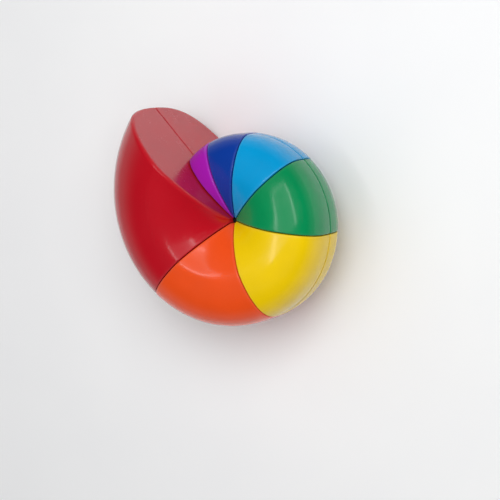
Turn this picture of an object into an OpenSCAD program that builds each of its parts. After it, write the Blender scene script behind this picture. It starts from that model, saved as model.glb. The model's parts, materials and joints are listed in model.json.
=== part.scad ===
// Two-layer twisting puzzle in the shape of a spiral shell.
// Seven colours of hollow wedge lie round one turning axis, once in front of the mid-plane and once behind it.
// Angles are measured clockwise from +X, seen from +Z, which is the way the spiral grows.
// The cut through 90 and 270 degrees is straight, and one half turns over about the X direction on a screw.

/* [Shell] */
// Reach of the big end, the mouth, from the turning axis
mouth_reach = 56.8; // [50:0.1:64]
// Reach of the small end, where the spiral begins
tail_reach = 30.7; // [29:0.1:34]
// Lag of the spiral behind an even one, half way round
spiral_lag = 0.4; // [0.2:0.01:0.45]
// How far that lag leans towards the mouth
spiral_lean = 0.17; // [0:0.01:0.2]
// Half thickness at the mouth, as a share of its reach
mouth_swell = 0.54; // [0.45:0.01:0.6]
// Half thickness at the small end, as a share of its reach
tail_swell = 0.38; // [0.37:0.01:0.42]
// Extra half thickness half way round, as a share of the reach
middle_swell = 0.045; // [0:0.005:0.06]

/* [Cross section] */
// Distance of the crest from the axis, as a share of the reach
crest_share = 0.52; // [0.48:0.01:0.56]
// Height of the skin above the mid-plane at the axis
navel_height = 6.9; // [6.7:0.1:7.5]
// Superellipse power along the radius, from the crest out to the rim
rim_power_r = 1.8; // [1.6:0.1:2.4]
// Superellipse power along the height, from the crest out to the rim
rim_power_z = 3.4; // [2.4:0.1:4]
// Superellipse power along the radius, from the crest in to the axis
navel_power_r = 1.5; // [1.3:0.1:2]
// Superellipse power along the height, from the crest in to the axis
navel_power_z = 1.4; // [1.2:0.1:1.8]

/* [Walls and gaps] */
// Gap between neighbouring pieces
gap = 0.3; // [0.2:0.05:0.4]
// Thickness of a shell's skin and of its side walls
wall = 1.8; // [1.4:0.1:2]
// Thickness of the plate that closes a shell
plate_thick = 1.5; // [1.2:0.1:2]
// Running clearance between a foot and the core
run = 0.2; // [0.15:0.05:0.25]

/* [Core] */
// Outer radius of the core's rim
core_radius = 13.5; // [13.3:0.1:14]
// Half height of the core's hub and rim
core_half_height = 5.4; // [5.2:0.1:5.5]
// Radius of the core's hub
hub_radius = 5.4; // [5:0.1:5.6]
// Half thickness of the web between hub and rim
web_half = 3.2; // [3.1:0.1:3.3]
// Radius of the screw that the halves turn over on
screw_radius = 1.25; // [1.1:0.05:1.3]

/* [Hidden] */
// Only these angles, in steps of ten degrees and with the rest left to red, leave straight cuts through the axis
names = ["violet", "dark_blue", "light_blue", "green", "yellow", "orange", "red"];
spans = [20, 30, 40, 50, 60, 70, 90];
starts = [0, 20, 50, 90, 140, 200, 270];
paints = ["darkviolet", "mediumblue", "deepskyblue", "seagreen", "gold", "orangered", "crimson"];
last = len(names) - 1;

$fn = 64;
half_gap = gap / 2;
skin_step = 5;      // degrees between columns of the outer skin
cavity_step = 10;   // and of the cavity inside it
crest_steps = 8;    // rings from the axis to the crest
rim_steps = 9;      // rings from the crest to the rim
tip_radius = 1.2;   // a wedge ends here, short of the axis

// The core's slot, which holds the feet: its lip overhangs it from the rim's side
lip_under = core_half_height - 0.9;
lip_radius = 9.2;
slot_radius = 10.9;

// A foot: toe under the lip, neck through the slot, arm over the rim, leg outside it and a plate across the shell
toe_low = web_half + run;
toe_high = lip_under - run;
foot_inner = hub_radius + 2 * run;
toe_outer = slot_radius - run;
neck_outer = lip_radius - run;
arm_low = core_half_height + run;
arm_high = 7;
leg_inner = core_radius + 2 * run;
leg_outer = leg_inner + 1.4;
plate_low = 0.5;
plate_fit = 0.15;

// The screw lies on the cut axis with its head and spring in a pocket of the left half
pocket_radius = 2.5;
pocket_floor = 6;
head_radius = 2.3;
head_height = 1.7;
head_face = 10.6;
screw_tip = 9;
washer_thick = 0.4;
wire_radius = 0.25;
coil_radius = 1.9;
coils = 4;
coil_step = 30;     // degrees between rings of the spring
coil_sides = 6;

// Reach and half thickness at a share t of the turn, 0 at the small end and 1 at the mouth
function reach(t) =
    pow(tail_reach, 1 - t) * pow(mouth_reach, t) * exp(-t * (1 - t) * (spiral_lag + spiral_lean * (2 * t - 1)));
function swell(t) =
    reach(t) * (tail_swell * (1 - t) + mouth_swell * t + middle_swell * 4 * t * (1 - t));

// The mechanism's axis stands off the origin, so that the origin is the middle of the whole
edge_x = [for (a = [0 : 360]) reach(a / 360) * cos(a)];
edge_y = [for (a = [0 : 360]) -reach(a / 360) * sin(a)];
axis_x = -round(5 * (max(edge_x) + min(edge_x))) / 10;
axis_y = -round(5 * (max(edge_y) + min(edge_y))) / 10;

// Skin of the section at t as [radius, height] pairs, from radius r0 over the crest to the rim, drawn in by cut
function skin(t, r0, cut) =
    let (far = reach(t) - cut, high = swell(t) - cut, low = navel_height - cut)
    let (crest = (far + cut) * crest_share)
    let (first = acos(pow((crest - r0) / (crest - cut), navel_power_r / 2)))
    concat(
        [for (i = [0 : crest_steps - 1])
            let (s = first + (90 - first) * i / crest_steps)
            [crest - (crest - cut) * pow(cos(s), 2 / navel_power_r),
             low + (high - low) * pow(sin(s), 2 / navel_power_z)]],
        [for (i = [0 : rim_steps])
            let (s = 90 * (1 - i / rim_steps))
            [crest + (far - crest) * pow(cos(s), 2 / rim_power_r),
             high * pow(sin(s), 2 / rim_power_z)]]
    );

// A point at radius r and height z, a share u of the way from one side of wedge k to the other.
// The sides are planes that lie inset from the planes through the axis.
function in_wedge(k, r, z, inset, u) =
    let (a = asin(inset / r))
    let (turn = starts[k] + a + u * (spans[k] - 2 * a))
    [r * cos(turn), -r * sin(turn), z];

// A solid wedge under the skin: columns of points, each a floor from the axis to the rim and the skin back over it
module wedge(k, inset, cut, r0, floor_z, steps) {
    rings = crest_steps + rim_steps;
    size = 2 * rings + 1;
    points = [
        for (i = [0 : steps])
            let (u = i / steps)
            let (section = skin((starts[k] + u * spans[k]) / 360, r0, cut))
            each concat(
                [for (j = [0 : rings]) in_wedge(k, section[j][0], floor_z, inset, u)],
                [for (j = [rings - 1 : -1 : 0]) in_wedge(k, section[j][0], section[j][1], inset, u)]
            )
    ];
    around = [
        for (i = [0 : steps - 1], p = [0 : size - 1])
            let (a = i * size + p, b = i * size + (p + 1) % size)
            each [[a, b + size, b], [a, a + size, b + size]]
    ];
    far_side = steps * size;
    sides = [
        for (j = [0 : rings - 1])
            let (a = j, b = j + 1, c = size - 1 - j, d = size - 2 - j)
            each [
                [a, b, c],
                [far_side + a, far_side + c, far_side + b],
                if (d > b) [b, d, c],
                if (d > b) [far_side + b, far_side + c, far_side + d]
            ]
    ];
    polyhedron(points = points, faces = concat(around, sides));
}

// Room for the arms and the core under a shell, with flat facets, because nothing runs on it
module core_room() {
    room = leg_outer + 0.3;
    translate([0, 0, -1])
        linear_extrude(arm_high + 1)
            polygon([for (a = [0 : skin_step : 359]) room * [cos(a), sin(a)]]);
}

// Coloured hollow shell, open towards the mid-plane
module shell(k) {
    inside = half_gap + wall;
    color(paints[k])
        difference() {
            wedge(k, half_gap, 0, tip_radius, half_gap, spans[k] / skin_step);
            core_room();
            wedge(k, inside, wall, inside / sin(spans[k] / 2) + 1, -1, spans[k] / cavity_step);
        }
}

// Black foot, glued into a shell: it closes the shell and hooks it into the core
module foot(k) {
    side = asin(half_gap / foot_inner);
    inset = half_gap + wall + plate_fit;
    steps = spans[k] / skin_step;
    plate_inner = (leg_inner + leg_outer) / 2;
    color("dimgray")
        union() {
            rotate([0, 0, side - starts[k] - spans[k]])
                rotate_extrude(angle = spans[k] - 2 * side)
                    polygon([
                        [foot_inner, toe_low], [toe_outer, toe_low], [toe_outer, toe_high], [neck_outer, toe_high],
                        [neck_outer, arm_low], [leg_inner, arm_low], [leg_inner, plate_low], [leg_outer, plate_low],
                        [leg_outer, arm_high], [foot_inner, arm_high]
                    ]);
            translate([0, 0, plate_low])
                linear_extrude(plate_thick)
                    polygon(concat(
                        [for (i = [0 : steps]) plate_corner(k, plate_inner, inset, i / steps)],
                        [for (i = [steps : -1 : 0]) plate_corner(k, plate_reach(k, i / steps), inset, i / steps)]
                    ));
        }
}

function plate_reach(k, u) = reach((starts[k] + u * spans[k]) / 360) - wall - 2 * plate_fit;

function plate_corner(k, r, inset, u) = let (p = in_wedge(k, r, 0, inset, u)) [p[0], p[1]];

// Spool that the feet run round, before it is cut in two
module core_spool() {
    rotate_extrude()
        polygon([
            [0, -core_half_height], [hub_radius, -core_half_height], [hub_radius, -web_half],
            [slot_radius, -web_half], [slot_radius, -lip_under], [lip_radius, -lip_under],
            [lip_radius, -core_half_height], [core_radius, -core_half_height],
            [core_radius, core_half_height], [lip_radius, core_half_height],
            [lip_radius, lip_under], [slot_radius, lip_under], [slot_radius, web_half],
            [hub_radius, web_half], [hub_radius, core_half_height], [0, core_half_height]
        ]);
}

// A cylinder along X from x0 to x1
module rod(x0, x1, radius) {
    translate([x0, 0, 0])
        rotate([0, 90, 0])
            cylinder(h = x1 - x0, r = radius);
}

// Right half of the core, which the screw bites into
module core_right() {
    color("dimgray")
        difference() {
            core_spool();
            translate([half_gap - 20, -20, -20])
                cube([20, 40, 40]);
            rod(-1, screw_tip + 0.5, screw_radius + 0.02);
        }
}

// Left half of the core, which turns over on the screw
module core_left() {
    color("dimgray")
        difference() {
            core_spool();
            translate([-half_gap, -20, -20])
                cube([20, 40, 40]);
            rod(-pocket_floor - 1, 1, screw_radius + 0.08);
            rod(-core_radius - 1, -pocket_floor, pocket_radius);
        }
}

// Pan-head screw with a hexagon socket
module core_screw() {
    color("silver")
        difference() {
            union() {
                rod(-head_face, screw_tip, screw_radius);
                rod(-head_face - head_height, -head_face, head_radius);
            }
            translate([-head_face - head_height - 1, 0, 0])
                rotate([0, 90, 0])
                    cylinder(h = 2, r = 1.1, $fn = 6);
        }
}

// Flat washer between the spring and the floor of the pocket
module core_washer() {
    color("silver")
        difference() {
            rod(-pocket_floor - 0.05 - washer_thick, -pocket_floor - 0.05, head_radius);
            rod(-pocket_floor - 1, -pocket_floor + 1, screw_radius + 0.1);
        }
}

// Compression spring between the washer and the screw's head
module core_spring() {
    low = pocket_floor + 0.05 + washer_thick + wire_radius + 0.05;
    high = head_face - wire_radius - 0.05;
    rings = coils * 360 / coil_step;
    points = [
        for (i = [0 : rings], j = [0 : coil_sides - 1])
            let (a = i * coil_step, b = j * 360 / coil_sides, r = coil_radius + wire_radius * cos(b))
            [-low - (high - low) * i / rings + wire_radius * sin(b), r * cos(a), r * sin(a)]
    ];
    around = [
        for (i = [0 : rings - 1], j = [0 : coil_sides - 1])
            let (a = i * coil_sides + j, b = i * coil_sides + (j + 1) % coil_sides)
            each [[a, b + coil_sides, b], [a, a + coil_sides, b + coil_sides]]
    ];
    start_face = [for (j = [0 : coil_sides - 1]) j];
    end_face = [for (j = [coil_sides - 1 : -1 : 0]) rings * coil_sides + j];
    color("silver")
        polyhedron(points = points, faces = concat(around, [start_face, end_face]));
}

module on_axis() {
    translate([axis_x, axis_y, 0])
        children();
}

module behind() {
    mirror([0, 0, 1])
        children();
}

on_axis() core_right();
on_axis() core_left();
on_axis() core_screw();
on_axis() core_washer();
on_axis() core_spring();
for (k = [0 : last]) {
    on_axis() shell(k);
    on_axis() foot(k);
    on_axis() behind() shell(k);
    on_axis() behind() foot(k);
}
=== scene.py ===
import json
import math

import bmesh
import bpy
import numpy as np
from mathutils import Matrix, Vector


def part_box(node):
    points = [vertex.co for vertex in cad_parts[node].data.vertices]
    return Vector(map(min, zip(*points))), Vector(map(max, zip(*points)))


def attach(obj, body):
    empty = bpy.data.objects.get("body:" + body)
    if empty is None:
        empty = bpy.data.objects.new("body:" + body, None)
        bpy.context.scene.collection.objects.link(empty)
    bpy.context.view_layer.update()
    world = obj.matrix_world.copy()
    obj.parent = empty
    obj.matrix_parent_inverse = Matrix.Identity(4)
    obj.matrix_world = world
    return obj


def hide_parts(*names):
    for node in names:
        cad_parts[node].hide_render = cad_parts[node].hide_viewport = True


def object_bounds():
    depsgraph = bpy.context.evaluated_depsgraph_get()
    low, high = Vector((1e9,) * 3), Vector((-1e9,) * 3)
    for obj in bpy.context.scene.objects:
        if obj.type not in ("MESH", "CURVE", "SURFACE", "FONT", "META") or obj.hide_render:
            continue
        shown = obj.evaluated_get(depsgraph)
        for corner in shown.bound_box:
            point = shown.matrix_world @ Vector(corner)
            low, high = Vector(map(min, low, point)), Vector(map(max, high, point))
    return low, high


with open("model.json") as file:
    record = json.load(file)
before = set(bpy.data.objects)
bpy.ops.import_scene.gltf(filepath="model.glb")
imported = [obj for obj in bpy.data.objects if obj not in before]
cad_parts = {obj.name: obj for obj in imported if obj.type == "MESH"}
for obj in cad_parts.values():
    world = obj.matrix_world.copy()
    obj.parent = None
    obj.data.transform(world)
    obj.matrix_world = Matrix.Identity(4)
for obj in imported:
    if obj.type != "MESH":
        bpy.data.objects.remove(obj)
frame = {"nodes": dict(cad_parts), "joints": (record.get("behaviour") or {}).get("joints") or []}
cad_low, cad_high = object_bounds()

MM = 0.001

# ---------------------------------------------------------------- the shell's shape, as the CAD frame has it

COLOURS = ["violet", "dark_blue", "light_blue", "green", "yellow", "orange", "red"]
SPANS = [20, 30, 40, 50, 60, 70, 90]                      # degrees
STARTS = [sum(SPANS[:k]) for k in range(len(SPANS))]      # degrees clockwise from +X
RIGHT_HALF = {"violet", "dark_blue", "light_blue", "red"}

JOINTS = {joint["name"]: joint for joint in frame["joints"]}
AXIS = Vector(JOINTS["front_spin"]["pos_m"])

MOUTH_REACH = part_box("front_red_shell")[1][0] - AXIS.x
MOUTH_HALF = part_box("front_red_shell")[1][2]
TAIL_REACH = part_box("front_violet_shell")[1][0] - AXIS.x
HALF_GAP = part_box("front_red_shell")[0][2]

SPIRAL_LAG = 0.4            # draws the rim in from a logarithmic spiral, most of all about halfway round
SPIRAL_LEAN = 0.17          # moves that towards the mouth
TAIL_SWELL = 0.38           # half thickness at the small end, as a share of the reach
MIDDLE_SWELL = 0.045        # added to that share halfway round
CREST_SHARE = 0.52          # where the crest lies on the way from the axis to the rim
NAVEL_HEIGHT = 6.9 * MM     # of the skin at the axis
RIM_POWER_R = 1.8           # powers of the section, a quarter of a superellipse on each side of the crest
RIM_POWER_Z = 3.4
NAVEL_POWER_R = 1.5
NAVEL_POWER_Z = 1.4
TIP_RADIUS = 1.2 * MM       # of the hole round the axis
WALL = 1.8 * MM
CORE_ROOM_RADIUS = 15.6 * MM
CORE_ROOM_HEIGHT = 7 * MM
PLATE_LOW = 0.5 * MM        # height of the underside of a foot's plate
PLATE_INSET = 2.1 * MM      # of a foot's plate from the planes between the wedges and from the rim
PLATE_START = 15.3 * MM     # radius of the leg, outside which the plate lies

CHORD_DEPTH = 0.05 * MM     # about how far the CAD's faceted rim lies inside the true curve
EDGE_RADIUS = 0.5 * MM      # rounding where two pieces meet
MOUTH_RADIUS = 1.3 * MM     # rounding round the mouth of the shell
ROUNDING_SHARE = 0.42       # most that a rounding takes of the way from a wedge's side to its middle
LEAST_ROUNDING = 0.01 * MM
EDGE_REACH = 1.2 * MM       # how far the rubbed wear and the painted edge highlight spread from an edge
RIB = 1.1 * MM              # width of the ribs under a foot's plate
PLATE_BORDER = 1.3 * MM
OUTER_RIB = 1.0 * MM        # width of the rib along a plate's outer edge
RIB_MARGIN = 0.2 * MM       # from that rib to the plate's edge
RIB_ROOT = 0.4 * MM         # how deep that rib reaches into its plate
RUNNING_GAP = 0.03 * MM     # from that rib to the mid-plane, where the other layer's ribs run
POCKET_DEPTH = 0.7 * MM
POCKET_SIZE = 8 * MM        # about how far apart the ribs are
POCKET_DRAFT = 0.18 * MM    # how far a pocket's sides draw in on the way to its floor
WELD = 0.0002 * MM          # points closer than this are one point
CAD_WELD = 0.001 * MM       # and in a mesh that comes from the CAD, closer than this
SHELL_CREASE = math.radians(40)     # edges that turn by more than this are shaded sharp
FOOT_CREASE = math.radians(30)
SKIN_POINTS = 64            # points of a section from the axis to the rim
SKIN_SAMPLES = (300, 500)   # that they are picked from, on the axis side and the rim side of the crest
FLOOR_POINTS = 10
ARC_POINTS = 5
DEGREES_PER_COLUMN = 1.5
CAVITY_POINTS = 17          # points of the hollow's roof from the axis to the rim
CAVITY_DEGREES = 5          # between the hollow's sections
CAVITY_SKIP = 4             # the roof is drawn in from every fourth point of the skin
CAVITY_START = 1 * MM       # how far the hollow starts outside the point where its walls would meet
CAVITY_RIM_HEIGHT = 3 * MM
OVERCUT = 2 * MM            # how far the cutting forms reach past the mid-plane
MOUTH_FADE = 18 * MM        # height over which the mouth's rounding grows to its full radius
POCKET_STEPS = 5
NARROWEST_POCKET = 1.2 * MM
SHORTEST_POCKET = 3 * MM


def reach(t):
    """Distance of the rim from the axis at a share t of the turn."""
    lag = t * (1 - t) * (SPIRAL_LAG + SPIRAL_LEAN * (2 * t - 1))
    return TAIL_REACH ** (1 - t) * MOUTH_REACH ** t * math.exp(-lag)


def swell(t):
    """Half thickness at the crest at a share t of the turn."""
    mouth_swell = MOUTH_HALF / MOUTH_REACH
    return reach(t) * (TAIL_SWELL * (1 - t) + mouth_swell * t + MIDDLE_SWELL * 4 * t * (1 - t))


def skin(t, floor):
    """The skin of the section at t, from the tip over the crest down to height floor, evenly spaced."""
    far, high = reach(t) - CHORD_DEPTH, swell(t)
    crest = far * CREST_SHARE
    first = math.acos((1 - TIP_RADIUS / crest) ** (NAVEL_POWER_R / 2))
    s = np.linspace(first, math.pi / 2, SKIN_SAMPLES[0])[:-1]
    r_in = crest * (1 - np.cos(s) ** (2 / NAVEL_POWER_R))
    z_in = NAVEL_HEIGHT + (high - NAVEL_HEIGHT) * np.sin(s) ** (2 / NAVEL_POWER_Z)
    end = math.asin((floor / high) ** (RIM_POWER_Z / 2))
    s = np.linspace(math.pi / 2, end, SKIN_SAMPLES[1])
    r_out = crest + (far - crest) * np.abs(np.cos(s)) ** (2 / RIM_POWER_R)
    z_out = high * np.sin(s) ** (2 / RIM_POWER_Z)
    r, z = np.concatenate([r_in, r_out]), np.concatenate([z_in, z_out])
    length = np.concatenate([[0], np.cumsum(np.hypot(np.diff(r), np.diff(z)))])
    even = np.linspace(0, length[-1], SKIN_POINTS)
    return np.stack([np.interp(even, length, r), np.interp(even, length, z)], 1)


def outline(t):
    """Closed outline of the section at t: along the floor, round the rim's edge and back over the skin."""
    edge = EDGE_RADIUS
    top = skin(t, HALF_GAP + edge)[::-1]
    rim = top[0][0]
    angles = np.radians(np.linspace(-90, 0, ARC_POINTS)[:-1])
    arc = np.stack([rim - edge + edge * np.cos(angles), HALF_GAP + edge + edge * np.sin(angles)], 1)
    radii = np.linspace(TIP_RADIUS, rim - edge, FLOOR_POINTS + 1)[:-1]
    floor = np.stack([radii, np.full(FLOOR_POINTS, HALF_GAP)], 1)
    return np.concatenate([floor, arc, top])


def outward(points):
    """Outward normals of a closed outline that runs with its inside on the left."""
    step = np.roll(points, -1, 0) - points
    step /= np.linalg.norm(step, axis=1)[:, None]
    mean = step + np.roll(step, 1, 0)
    mean /= np.linalg.norm(mean, axis=1)[:, None]
    return np.stack([mean[:, 1], -mean[:, 0]], 1)


def smoothstep(x):
    x = np.clip(x, 0, 1)
    return x * x * (3 - 2 * x)


def rounding(points, span, is_mouth):
    """How far the outline draws in towards a side face: the radius of the rounding at each point."""
    radius = np.full(len(points), EDGE_RADIUS)
    if is_mouth:
        grown = smoothstep(points[:, 1] / MOUTH_FADE)
        radius += (MOUTH_RADIUS - EDGE_RADIUS) * grown
    room = ROUNDING_SHARE * (points[:, 0] * math.sin(math.radians(span / 2)) - HALF_GAP)
    return np.minimum(radius, np.maximum(room, LEAST_ROUNDING))


def turned(section, angle):
    """A section's points in space, turned clockwise from +X by an angle, or by one for each point."""
    r, z = section[:, 0], section[:, 1]
    return np.stack([r * np.cos(angle), -r * np.sin(angle), z], 1)


def columns(k):
    """The wedge's outlines across its width, each as points in space, from one side face to the other."""
    span, start = math.radians(SPANS[k]), math.radians(STARTS[k])
    t0, t1 = STARTS[k] / 360, (STARTS[k] + SPANS[k]) / 360
    side_near = rounding(outline(t0), SPANS[k], False)
    side_far = rounding(outline(t1), SPANS[k], COLOURS[k] == "red")
    rows = []
    arc = np.radians(np.linspace(0, 90, ARC_POINTS + 1)[:-1])
    section = outline(t0)
    normals = outward(section)
    for a in arc:
        drawn = section - normals * (side_near * (1 - math.sin(a)))[:, None]
        side = np.arcsin((HALF_GAP + side_near * (1 - math.cos(a))) / drawn[:, 0])
        rows.append(turned(drawn, start + side))
    count = round(SPANS[k] / DEGREES_PER_COLUMN)
    for i in range(count + 1):
        u = i / count
        section = outline(t0 + (t1 - t0) * u)
        low = start + np.arcsin((HALF_GAP + side_near) / section[:, 0])
        high = start + span - np.arcsin((HALF_GAP + side_far) / section[:, 0])
        rows.append(turned(section, low + (high - low) * u))
    section = outline(t1)
    normals = outward(section)
    for a in arc[::-1]:
        drawn = section - normals * (side_far * (1 - math.sin(a)))[:, None]
        side = np.arcsin((HALF_GAP + side_far * (1 - math.cos(a))) / drawn[:, 0])
        rows.append(turned(drawn, start + span - side))
    return rows


def mesh_from_columns(name, rows):
    """A closed mesh: the outlines joined side by side, and a flat face at each end."""
    count, size = len(rows), len(rows[0])
    verts = np.concatenate(rows)
    faces = []
    for i in range(count - 1):
        for j in range(size):
            a, b = i * size + j, i * size + (j + 1) % size
            faces.append((a, b, b + size, a + size))
    faces.append(tuple(range(size - 1, -1, -1)))
    faces.append(tuple((count - 1) * size + j for j in range(size)))
    mesh = bpy.data.meshes.new(name)
    mesh.from_pydata([tuple(v) for v in verts], [], faces)
    mesh.update()
    return mesh


def cavity_columns(k):
    """The hollow inside a shell, drawn in by the wall on every side and open at the floor."""
    inset = HALF_GAP + WALL
    start, span = math.radians(STARTS[k]), math.radians(SPANS[k])
    tip = inset / math.sin(span / 2) + CAVITY_START
    count = SPANS[k] // CAVITY_DEGREES
    rows = []
    for i in range(count + 1):
        u = i / count
        t = (STARTS[k] + SPANS[k] * u) / 360
        points = skin(t, HALF_GAP)[::CAVITY_SKIP]
        normals = outward(points[::-1])[::-1]
        inner = points - normals * WALL
        inner = inner[1:-1][(inner[1:-1, 0] > tip) & (inner[1:-1, 1] > 0)]
        r = np.linspace(tip, reach(t) - WALL, CAVITY_POINTS)
        z = np.interp(r, np.maximum.accumulate(inner[:, 0]), inner[:, 1])
        z[-1] = min(z[-1], CAVITY_RIM_HEIGHT)
        section = np.concatenate([
            np.stack([r, np.full(CAVITY_POINTS, -OVERCUT)], 1),
            np.stack([r, z], 1)[::-1],
        ])
        low = start + np.arcsin(inset / section[:, 0])
        high = start + span - np.arcsin(inset / section[:, 0])
        rows.append(turned(section, low + (high - low) * u))
    return rows


def add(name, mesh):
    piece = bpy.data.objects.new(name, mesh)
    bpy.context.scene.collection.objects.link(piece)
    return piece


def close(mesh):
    """Joins points that a cut leaves on top of each other, and fills any hole of a single face."""
    form = bmesh.new()
    form.from_mesh(mesh)
    bmesh.ops.remove_doubles(form, verts=form.verts, dist=WELD)
    bmesh.ops.dissolve_degenerate(form, edges=form.edges, dist=WELD)
    rim = [edge for edge in form.edges if edge.is_boundary]
    bmesh.ops.holes_fill(form, edges=rim, sides=4)
    form.to_mesh(mesh)
    form.free()


def combine(piece, tools, operation="DIFFERENCE"):
    """Cuts the tools out of the piece, or joins them to it, and keeps the closed result as its mesh."""
    for tool in tools:
        modifier = piece.modifiers.new("combine", "BOOLEAN")
        modifier.operation = operation
        modifier.solver = "EXACT"
        modifier.object = tool
    graph = bpy.context.evaluated_depsgraph_get()
    mesh = bpy.data.meshes.new_from_object(piece.evaluated_get(graph))
    close(mesh)
    piece.modifiers.clear()
    piece.data = mesh
    for tool in tools:
        bpy.data.objects.remove(tool)


def core_room():
    """The round space under the shells that the core and the arms of the feet take up."""
    form = bmesh.new()
    depth = CORE_ROOM_HEIGHT + OVERCUT
    bmesh.ops.create_cone(
        form, cap_ends=True, segments=96, radius1=CORE_ROOM_RADIUS, radius2=CORE_ROOM_RADIUS, depth=depth,
        matrix=Matrix.Translation((0, 0, CORE_ROOM_HEIGHT - depth / 2)))
    mesh = bpy.data.meshes.new("core_room")
    form.to_mesh(mesh)
    form.free()
    return add("core_room", mesh)


def mark_edges(mesh, k):
    """Stores on each point how near it is to an edge of the wedge: 1 on the edge, 0 from EDGE_REACH away."""
    points = np.empty(3 * len(mesh.vertices))
    mesh.vertices.foreach_get("co", points)
    x, y, z = points.reshape(-1, 3).T
    near, far = math.radians(STARTS[k]), math.radians(STARTS[k] + SPANS[k])
    from_near = -y * math.cos(near) - x * math.sin(near)
    from_far = y * math.cos(far) + x * math.sin(far)
    away = np.minimum(np.minimum(from_near, from_far), z) - HALF_GAP
    layer = mesh.attributes.new("edge", "FLOAT", "POINT")
    layer.data.foreach_set("value", 1 - smoothstep(away / EDGE_REACH))


def to_layer(mesh, layer):
    """Moves a mesh that is drawn round the axis in the front layer to where its layer is."""
    if layer == "back":
        mesh.transform(Matrix.Diagonal((1, 1, -1, 1)))
        mesh.flip_normals()
    mesh.transform(Matrix.Translation(AXIS))


def dress(mesh, material, crease):
    """Shades a mesh smooth up to the crease angle, and gives it its material."""
    mesh.shade_smooth()
    mesh.set_sharp_from_angle(angle=crease)
    mesh.materials.clear()
    mesh.materials.append(material)


def make_shell(k, layer, material):
    """One coloured wedge of one layer, standing in for its CAD shell."""
    colour = COLOURS[k]
    piece = add(f"{layer}_{colour}", mesh_from_columns(colour, columns(k)))
    combine(piece, [core_room(), add("cavity", mesh_from_columns("cavity", cavity_columns(k)))])
    mark_edges(piece.data, k)
    to_layer(piece.data, layer)
    dress(piece.data, material, SHELL_CREASE)
    weighted = piece.modifiers.new("weighted", "WEIGHTED_NORMAL")
    weighted.keep_sharp = True
    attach(piece, f"{layer}_{'right' if colour in RIGHT_HALF else 'left'}")
    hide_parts(f"{layer}_{colour}_shell")


def pocket_start(k):
    """Radius at which the plate has become wide enough for pockets."""
    side = PLATE_INSET + PLATE_BORDER
    return max(PLATE_START + PLATE_BORDER, (side + NARROWEST_POCKET) / math.sin(math.radians(SPANS[k] / 2)))


def pocket_corner(k, cell, level, cells, levels, along, out, draft):
    """A point of a pocket's outline, at shares along and out of its cell, drawn in by the draft."""
    side = PLATE_INSET + PLATE_BORDER
    start, span = math.radians(STARTS[k]), math.radians(SPANS[k])
    first = pocket_start(k)
    last = reach((STARTS[k] + SPANS[k] * (cell + along) / cells) / 360) - side
    low = first + (last - first) * level / levels + (RIB / 2 if level else 0) + draft
    high = first + (last - first) * (level + 1) / levels - (RIB / 2 if level + 1 < levels else 0) - draft
    r = low + (high - low) * out
    edge = math.asin(side / r)
    left = ((RIB / 2 if cell else 0) + draft) / r
    right = ((RIB / 2 if cell + 1 < cells else 0) + draft) / r
    wide = (span - 2 * edge) / cells
    turn = start + edge + wide * cell + left + (wide - left - right) * along
    return r * math.cos(turn), -r * math.sin(turn)


def pocket(form, k, cell, level, cells, levels):
    """One pocket between the ribs of a plate, added to form: a prism with slanted walls."""
    steps = [i / POCKET_STEPS for i in range(POCKET_STEPS + 1)]
    outline_shares = [(along, 0) for along in steps] + [(1, 0.5)]
    outline_shares += [(along, 1) for along in reversed(steps)] + [(0, 0.5)]
    rings = []
    for z, draft in ((-OVERCUT, 0), (PLATE_LOW, 0), (PLATE_LOW + POCKET_DEPTH, POCKET_DRAFT)):
        corners = [pocket_corner(k, cell, level, cells, levels, *shares, draft) for shares in outline_shares]
        rings.append([form.verts.new((x, y, z)) for x, y in corners])
    count = len(rings[0])
    for below, above in zip(rings, rings[1:]):
        for i in range(count):
            j = (i + 1) % count
            form.faces.new((below[i], above[i], above[j], below[j]))
    form.faces.new(rings[0])
    form.faces.new(rings[-1][::-1])


def pockets(k):
    """The forms of all of a plate's pockets in one mesh, or None where the plate is too small for any."""
    first = pocket_start(k)
    last = reach((STARTS[k] + SPANS[k] / 2) / 360) - PLATE_INSET - PLATE_BORDER
    if last - first <= SHORTEST_POCKET:
        return None
    levels = max(1, round((last - first) / POCKET_SIZE))
    cells = max(1, round(math.radians(SPANS[k]) * (first + last) / 2 / POCKET_SIZE))
    form = bmesh.new()
    for cell in range(cells):
        for level in range(levels):
            pocket(form, k, cell, level, cells, levels)
    bmesh.ops.recalc_face_normals(form, faces=form.faces)
    mesh = bpy.data.meshes.new("pockets")
    form.to_mesh(mesh)
    form.free()
    return mesh


def outer_rib(k):
    """Sections of the raised rib along a plate's outer edge, which the other layer runs on."""
    start, span = math.radians(STARTS[k]), math.radians(SPANS[k])
    rows = []
    for i in range(SPANS[k] // 2 + 1):
        u = i / (SPANS[k] // 2)
        outer = reach((STARTS[k] + SPANS[k] * u) / 360) - PLATE_INSET - RIB_MARGIN
        side = math.asin((PLATE_INSET + RIB_MARGIN) / outer)
        turn = start + side + (span - 2 * side) * u
        inner, low, high = outer - OUTER_RIB, RUNNING_GAP, PLATE_LOW + RIB_ROOT
        section = np.array([(inner, low), (outer, low), (outer, high), (inner, high)])
        rows.append(turned(section, turn))
    return rows


def cad_copy(node, name):
    """A new object with the mesh of a CAD node, its doubled points joined."""
    source = frame["nodes"][node]
    form = bmesh.new()
    form.from_mesh(source.data)
    form.transform(source.matrix_world)
    bmesh.ops.remove_doubles(form, verts=form.verts, dist=CAD_WELD)
    mesh = bpy.data.meshes.new(node)
    form.to_mesh(mesh)
    form.free()
    return add(name, mesh)


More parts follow.
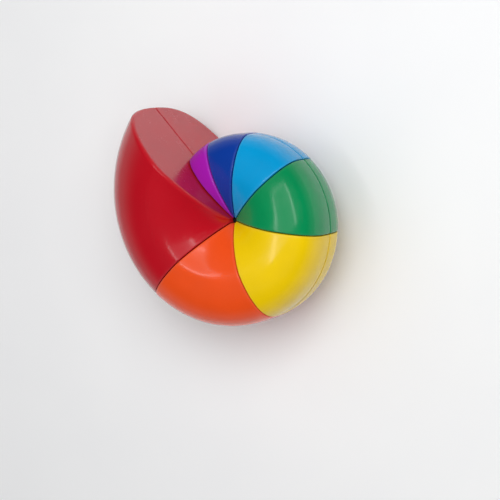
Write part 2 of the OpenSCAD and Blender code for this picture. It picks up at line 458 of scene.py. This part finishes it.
def make_foot(k, layer, material):
    """A wedge's foot as the CAD has it, with its plate ribbed like a moulding on the side that shows."""
    name = f"{layer}_{COLOURS[k]}_foot"
    piece = cad_copy(name, f"{layer}_{COLOURS[k]}_inside")
    tools = pockets(k)
    if tools:
        to_layer(tools, layer)
        combine(piece, [add("pockets", tools)])
    rib = mesh_from_columns("outer_rib", outer_rib(k))
    to_layer(rib, layer)
    combine(piece, [add("outer_rib", rib)], "UNION")
    dress(piece.data, material, FOOT_CREASE)
    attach(piece, f"{layer}_{'right' if COLOURS[k] in RIGHT_HALF else 'left'}")
    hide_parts(name)


# ---------------------------------------------------------------- materials

class Surface:
    """A Principled material with the few kinds of node that these surfaces are made of."""

    def __init__(self, name, **uniform):
        self.material = bpy.data.materials.new(name)
        self.material.use_nodes = True
        self.nodes, self.links = self.material.node_tree.nodes, self.material.node_tree.links
        self.shader = self.nodes["Principled BSDF"]
        self.where = self.nodes.new("ShaderNodeTexCoord").outputs["Object"]
        for socket, value in uniform.items():
            self.shader.inputs[socket.replace("_", " ")].default_value = value

    def node(self, kind, inputs, **settings):
        made = self.nodes.new("ShaderNode" + kind)
        for name, value in settings.items():
            setattr(made, name, value)
        for name, value in inputs.items():
            if isinstance(value, bpy.types.NodeSocket):
                self.links.new(value, made.inputs[name])
            else:
                made.inputs[name].default_value = value
        return made

    def noise(self, size, detail=2, shares=(1, 1, 1), turn=(0, 0, 0)):
        """Noise from 0 to 1. Along each turned axis its features are about size / share metres long."""
        mapped = self.node(
            "Mapping", {"Vector": self.where, "Scale": [1 / share for share in shares], "Rotation": turn},
            vector_type="TEXTURE")
        made = self.node("TexNoise", {"Vector": mapped.outputs[0], "Scale": 1 / size, "Detail": detail})
        return self.remap(made.outputs["Fac"], 0.3, 0.7, 0, 1)

    def attribute(self, name):
        return self.node("Attribute", {}, attribute_name=name).outputs["Fac"]

    def remap(self, value, low, high, to_low, to_high):
        inputs = {"Value": value, "From Min": low, "From Max": high, "To Min": to_low, "To Max": to_high}
        return self.node("MapRange", inputs).outputs[0]

    def math(self, operation, first, second):
        return self.node("Math", {0: first, 1: second}, operation=operation).outputs[0]

    def mix(self, share, first, second):
        """A colour between two others, each of them a tuple or a socket."""
        ends = [(*end, 1) if isinstance(end, tuple) else end for end in (first, second)]
        return self.node("Mix", {0: share, 6: ends[0], 7: ends[1]}, data_type="RGBA").outputs[2]

    def bumps(self, *layers):
        """Bump from one or more pairs of a height from 0 to 1 and the depth in metres that it stands for."""
        normal = None
        for height, depth in layers:
            inputs = {"Height": height, "Distance": depth}
            if normal:
                inputs["Normal"] = normal
            normal = self.node("Bump", inputs).outputs[0]
        self.links.new(normal, self.shader.inputs["Normal"])

    def set(self, socket, value):
        self.links.new(value, self.shader.inputs[socket])


def tint(colour, factor, grey=0.0):
    return tuple(min(1.0, c * factor + grey) for c in colour)


def hairlines(surface, size, turn):
    """Thin straight scratches in planes turned one way, 1 on a scratch and 0 between them."""
    lines = surface.noise(size, 0, (1, 0.03, 0.03), turn)
    patches = surface.noise(9 * MM, 1)
    thin = surface.remap(lines, 0.93, 1.0, 0, 1)
    return surface.math("MULTIPLY", thin, surface.remap(patches, 0.45, 0.9, 0, 1))


def glossy_plastic(name, colour):
    """Moulded, coloured-through ABS: gloss with faint sinks and orange peel, hairlines, and edges rubbed
    rougher, with a paler tint there that is partly wear and partly a painted highlight.
    """
    surface = Surface(name, IOR=1.5, Coat_Weight=0.15, Coat_Roughness=0.08)
    clouds = surface.noise(22 * MM)
    specks = surface.noise(0.45 * MM, 1)
    sinks = surface.noise(12 * MM, 1)
    peel = surface.noise(1.1 * MM, 1)
    smears = surface.noise(6 * MM, 3, (1, 0.4, 1), (0.4, 0.9, 0.3))
    scratches = surface.math(
        "ADD", hairlines(surface, 0.35 * MM, (0.3, 0.2, 0.7)), hairlines(surface, 0.3 * MM, (0.8, 1.4, 2.1)))
    edge_wear_and_highlight = surface.math("MULTIPLY", surface.attribute("edge"), surface.remap(specks, 0, 1, 0.35, 1))

    body = surface.mix(clouds, tint(colour, 0.94), tint(colour, 1.05))
    body = surface.mix(surface.remap(specks, 0, 1, 0, 0.12), body, tint(colour, 0.8))
    # Paler, greyer edges: partly rubbed wear, partly a painted highlight along the rounded edges
    body = surface.mix(surface.math("MULTIPLY", edge_wear_and_highlight, 0.3), body, tint(colour, 0.9, 0.05))
    surface.set("Base Color", body)

    rough = surface.remap(smears, 0, 1, 0.13, 0.19)
    rough = surface.math("ADD", rough, surface.math("MULTIPLY", edge_wear_and_highlight, 0.10))
    rough = surface.math("ADD", rough, surface.math("MULTIPLY", scratches, 0.05))
    surface.set("Roughness", rough)
    surface.bumps((sinks, 0.012 * MM), (peel, 0.0011 * MM), (scratches, -0.0006 * MM))
    return surface.material


def textured_plastic(name):
    """Black moulded nylon with a fine spark-eroded grain and faint paler patches."""
    surface = Surface(name, IOR=1.5)
    grain = surface.noise(0.35 * MM, 3)
    clouds = surface.noise(7 * MM)
    body = surface.mix(grain, (0.011, 0.011, 0.012), (0.026, 0.026, 0.028))
    body = surface.mix(surface.remap(clouds, 0.4, 1, 0, 0.35), body, (0.05, 0.05, 0.052))
    surface.set("Base Color", body)
    surface.set("Roughness", surface.remap(surface.math("ADD", grain, clouds), 0, 2, 0.42, 0.66))
    surface.bumps((grain, 0.02 * MM), (clouds, 0.02 * MM))
    return surface.material


def drawn_steel(name):
    """Zinc-plated steel with fine lines along the screw and a few dull spots."""
    surface = Surface(name, Metallic=1.0)
    lines = surface.noise(0.08 * MM, 2, (0.05, 1, 1))
    spots = surface.noise(0.7 * MM, 2)
    body = surface.mix(lines, (0.50, 0.50, 0.52), (0.64, 0.63, 0.62))
    body = surface.mix(surface.remap(spots, 0.7, 1, 0, 0.5), body, (0.36, 0.35, 0.33))
    surface.set("Base Color", body)
    surface.set("Roughness", surface.remap(surface.math("ADD", lines, spots), 0, 2, 0.2, 0.42))
    surface.bumps((lines, 0.003 * MM), (spots, 0.004 * MM))
    return surface.material


PAINT = {
    "violet": (0.35, 0.012, 0.43),
    "dark_blue": (0.001, 0.036, 0.29),
    "light_blue": (0.0, 0.29, 0.60),
    "green": (0.0, 0.235, 0.075),
    "yellow": (0.80, 0.54, 0.0),
    "orange": (0.82, 0.075, 0.009),
    "red": (0.47, 0.003, 0.012),
}
materials = {name: glossy_plastic(name, PAINT[name]) for name in COLOURS}
black = textured_plastic("black_plastic")
steel = drawn_steel("steel")

for k in range(len(COLOURS)):
    for layer in ("front", "back"):
        make_shell(k, layer, materials[COLOURS[k]])
        make_foot(k, layer, black)

for name, node in frame["nodes"].items():
    if name.endswith(("_shell", "_foot")):
        continue
    node.data.materials.clear()
    node.data.materials.append(steel if name in ("core_screw", "core_washer", "core_spring") else black)

# ---------------------------------------------------------------- stage

FLOOR_SIZE = 3.0
bpy.ops.mesh.primitive_plane_add(size=FLOOR_SIZE, location=(0, 0, cad_low.z))
floor = bpy.context.object
floor.name = "floor"
pale = Surface("pale_floor")
mottle = pale.noise(60 * MM, 3)
pale.set("Base Color", pale.mix(mottle, (0.86, 0.865, 0.875), (0.88, 0.885, 0.89)))
pale.set("Roughness", pale.remap(mottle, 0, 1, 0.55, 0.65))
floor.data.materials.append(pale.material)

VIEW_AZIMUTH = math.radians(-117.6)     # of the camera round the turning axis, from +X
VIEW_ELEVATION = math.radians(61.2)
VIEW_ROLL = math.radians(-104.0)
VIEW_DISTANCE = 560 * MM
VIEW_LENS = 107                         # focal length in millimetres, on a sensor 36 mm wide
VIEW_ASIDE = 2 * MM                     # the picture's middle lies this far right of the turning axis
VIEW_BELOW = 12 * MM                    # and this far below it


def make_camera():
    towards = Vector((
        math.cos(VIEW_AZIMUTH) * math.cos(VIEW_ELEVATION),
        math.sin(VIEW_AZIMUTH) * math.cos(VIEW_ELEVATION),
        math.sin(VIEW_ELEVATION)))
    level = Vector((0, 0, 1)).cross(towards).normalized()
    upright = towards.cross(level)
    right = level * math.cos(VIEW_ROLL) + upright * math.sin(VIEW_ROLL)
    up = towards.cross(right)
    data = bpy.data.cameras.new("camera")
    data.sensor_width = 36
    data.lens = VIEW_LENS
    camera = bpy.data.objects.new("camera", data)
    turn = Matrix((right, up, towards)).transposed().to_4x4()
    place = AXIS + towards * VIEW_DISTANCE + right * VIEW_ASIDE - up * VIEW_BELOW
    camera.matrix_world = Matrix.Translation(place) @ turn
    bpy.context.scene.collection.objects.link(camera)
    bpy.context.scene.camera = camera
    return right, up, towards


CAMERA_RIGHT, CAMERA_UP, CAMERA_TOWARDS = make_camera()


def area_light(name, direction, distance, size, power, level=(0, 0, 1)):
    """A soft rectangle of light that faces the puzzle, with its width at right angles to level."""
    data = bpy.data.lights.new(name, "AREA")
    data.shape = "RECTANGLE"
    data.size, data.size_y = size
    data.energy = power
    light = bpy.data.objects.new(name, data)
    back = direction.normalized()
    across = Vector(level).cross(back).normalized()
    turn = Matrix((across, back.cross(across), back)).transposed().to_4x4()
    light.matrix_world = Matrix.Translation(AXIS + back * distance) @ turn
    bpy.context.scene.collection.objects.link(light)
    return light


def seen(right, up):
    """The direction that shows this far right and up, as cosines, from where the puzzle is looked at."""
    return CAMERA_RIGHT * right + CAMERA_UP * up + CAMERA_TOWARDS * math.sqrt(1 - right * right - up * up)


# Two wide lights shape the puzzle without showing in its gloss
for light in (
    area_light("overhead", Vector((0.05, 0, 1)), distance=1.6, size=(3, 3), power=23, level=CAMERA_UP),
    area_light("key", seen(0, 0.2), distance=0.6, size=(0.35, 0.35), power=1.8),
):
    light.visible_glossy = False

# The gloss shows one dim square panel, with a brighter strip along three of its sides
PANEL = seen(-0.33, 0.08)
PANEL_AWAY = 0.7
PANEL_HALF = 0.19
PANEL_UP = (CAMERA_UP * 0.87 - CAMERA_RIGHT * 0.5).normalized()
panel = area_light("panel", PANEL, PANEL_AWAY, (2 * PANEL_HALF, 2 * PANEL_HALF), 0.25, PANEL_UP)
panel_right, panel_up = panel.matrix_world.col[0].to_3d(), panel.matrix_world.col[1].to_3d()
for name, aside, size, power in (
    ("panel_right", panel_right, (0.06, 2 * PANEL_HALF), 0.4),
    ("panel_left", -panel_right, (0.06, 2 * PANEL_HALF), 0.4),
    ("panel_top", panel_up, (2 * PANEL_HALF, 0.02), 0.12),
):
    strip = area_light(name, PANEL, PANEL_AWAY, size, power, PANEL_UP)
    strip.matrix_world = Matrix.Translation(aside * PANEL_HALF) @ strip.matrix_world

# A room that is light near the ground and dim above
world = bpy.data.worlds.new("world")
bpy.context.scene.world = world
world.use_nodes = True
sky_nodes, sky_links = world.node_tree.nodes, world.node_tree.links
split = sky_nodes.new("ShaderNodeSeparateXYZ")
sky_links.new(sky_nodes.new("ShaderNodeTexCoord").outputs["Generated"], split.inputs[0])
fade = sky_nodes.new("ShaderNodeMapRange")
fade.interpolation_type = "SMOOTHSTEP"
for socket, value in (("From Min", 0.0), ("From Max", 0.5), ("To Min", 0.45), ("To Max", 0.06)):
    fade.inputs[socket].default_value = value
sky_links.new(split.outputs["Z"], fade.inputs["Value"])
sky_links.new(fade.outputs[0], sky_nodes["Background"].inputs["Strength"])
sky_nodes["Background"].inputs["Color"].default_value = (1, 1, 1, 1)
bpy.context.scene.view_settings.view_transform = "Standard"
